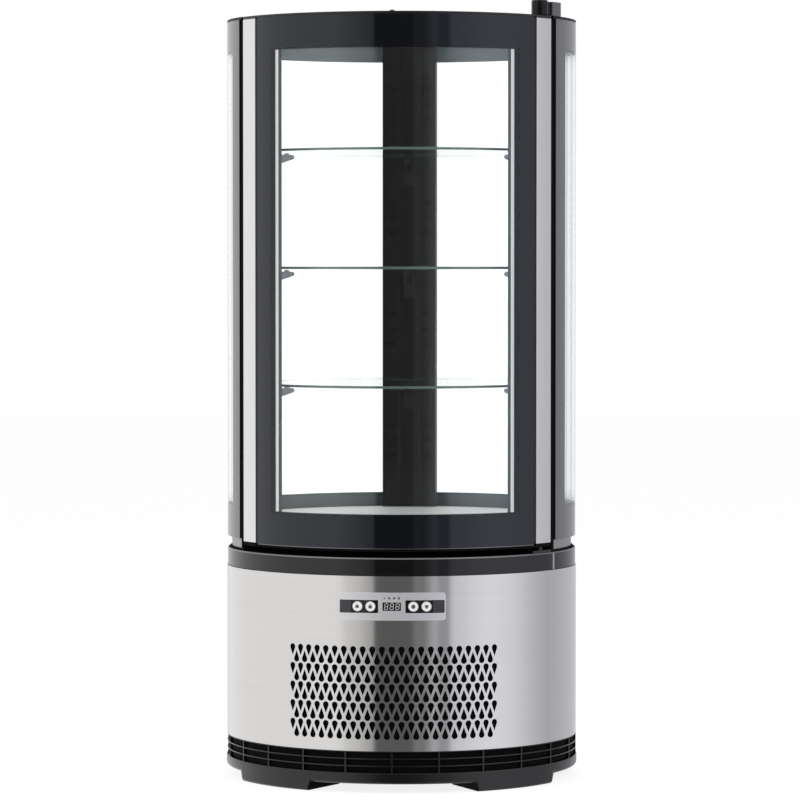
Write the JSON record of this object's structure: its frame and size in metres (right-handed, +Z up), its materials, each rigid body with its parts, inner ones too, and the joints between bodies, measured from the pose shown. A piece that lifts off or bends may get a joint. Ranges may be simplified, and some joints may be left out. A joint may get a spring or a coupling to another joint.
{
  "type": "refrigerated display case",
  "caption": "Tall round refrigerated cake display case with curved double glazing, a hinged glass door, glass shelves and a vented brushed-steel base with a control panel.",
  "frame": {"origin": "on the case's upright axis, at the level the feet stand on", "axes": "+Z up, the door and the control panel face -Y, the door's hinge is towards +X"},
  "size_m": [0.4518, 0.4518, 0.986],
  "materials": {
    "black_plastic": "moulded, fine satin",
    "gloss_black": "polished",
    "brushed_steel": "fine horizontal brush",
    "satin_aluminium": "satin anodised",
    "clear_glass": "clear, toughened",
    "white_enamel": "satin white",
    "grey_metal": "plain",
    "black_rubber": "matt",
    "black_steel": "satin black",
    "copper": "drawn tube",
    "white_button": "satin",
    "insulated_white": "foamed moulding",
    "lamp_diffuser": "frosted"
  },
  "bodies": {
    "case": {"base_tray": "black_plastic", "power_inlet": "black_plastic", "control_box": "black_plastic", "left_front_post": "black_plastic", "right_front_post": "black_plastic", "rear_post": "black_plastic", "top_frame": "black_plastic", "condenser_fan_housing": "black_plastic", "evaporator_fan_housing": "black_plastic", "control_fascia": "gloss_black", "base_rim": "gloss_black", "lid": "gloss_black", "skirt": "brushed_steel", "control_bezel": "satin_aluminium", "neck_ring": "satin_aluminium", "left_spacer": "satin_aluminium", "right_spacer": "satin_aluminium", "left_outer_pane": "clear_glass", "left_inner_pane": "clear_glass", "right_outer_pane": "clear_glass", "right_inner_pane": "clear_glass", "lower_shelf": "clear_glass", "middle_shelf": "clear_glass", "upper_shelf": "clear_glass", "deck": "white_enamel", "ceiling_panel": "white_enamel", "condenser": "grey_metal", "evaporator": "grey_metal", "lower_right_bracket": "grey_metal", "lower_left_bracket": "grey_metal", "lower_rear_bracket": "grey_metal", "middle_right_bracket": "grey_metal", "middle_left_bracket": "grey_metal", "middle_rear_bracket": "grey_metal", "upper_right_bracket": "grey_metal", "upper_left_bracket": "grey_metal", "upper_rear_bracket": "grey_metal", "rear_service_panel": "black_steel", "compressor": "black_steel", "top_hinge_bracket": "black_steel", "bottom_hinge_bracket": "black_steel", "discharge_pipe": "copper", "suction_pipe": "copper", "filter_drier": "copper", "insulated_floor": "insulated_white", "light_bar": "lamp_diffuser"},
    "door": {"door_outer_pane": "clear_glass", "door_inner_pane": "clear_glass", "door_spacer": "satin_aluminium", "door_top_rail": "black_plastic", "door_bottom_rail": "black_plastic", "handle_profile": "satin_aluminium", "hinge_profile": "satin_aluminium", "door_gasket": "black_rubber"},
    "up_button": {"up_button": "white_button"},
    "cooling_button": {"cooling_button": "white_button"},
    "lamp_button": {"lamp_button": "white_button"},
    "down_button": {"down_button": "white_button"},
    "condenser_fan": {"condenser_fan": "black_plastic"},
    "evaporator_fan": {"evaporator_fan": "black_plastic"}
  },
  "joints": [
    {"name": "door_hinge", "type": "hinge", "parent": "case", "child": "door", "pos_m": [0.1797, -0.11894, 0.2998], "axis": [0, 0, 1], "range_deg": [0, 110]},
    {"name": "up_button_press", "type": "slide", "parent": "case", "child": "up_button", "axis": [0.1908, 0.9816, 0], "range_m": [0, 0.0008], "stiffness_N_per_m": 500},
    {"name": "cooling_button_press", "type": "slide", "parent": "case", "child": "cooling_button", "axis": [0.1184, 0.993, 0], "range_m": [0, 0.0008], "stiffness_N_per_m": 500},
    {"name": "lamp_button_press", "type": "slide", "parent": "case", "child": "lamp_button", "axis": [-0.1184, 0.993, 0], "range_m": [0, 0.0008], "stiffness_N_per_m": 500},
    {"name": "down_button_press", "type": "slide", "parent": "case", "child": "down_button", "axis": [-0.1908, 0.9816, 0], "range_m": [0, 0.0008], "stiffness_N_per_m": 500},
    {"name": "condenser_fan_spin", "type": "hinge", "parent": "case", "child": "condenser_fan", "pos_m": [0.015, -0.124, 0.0802], "axis": [0, 1, 0], "continuous": true},
    {"name": "evaporator_fan_spin", "type": "hinge", "parent": "case", "child": "evaporator_fan", "pos_m": [0, 0.0185, 0.2633], "axis": [0, 1, 0], "continuous": true}
  ]
}
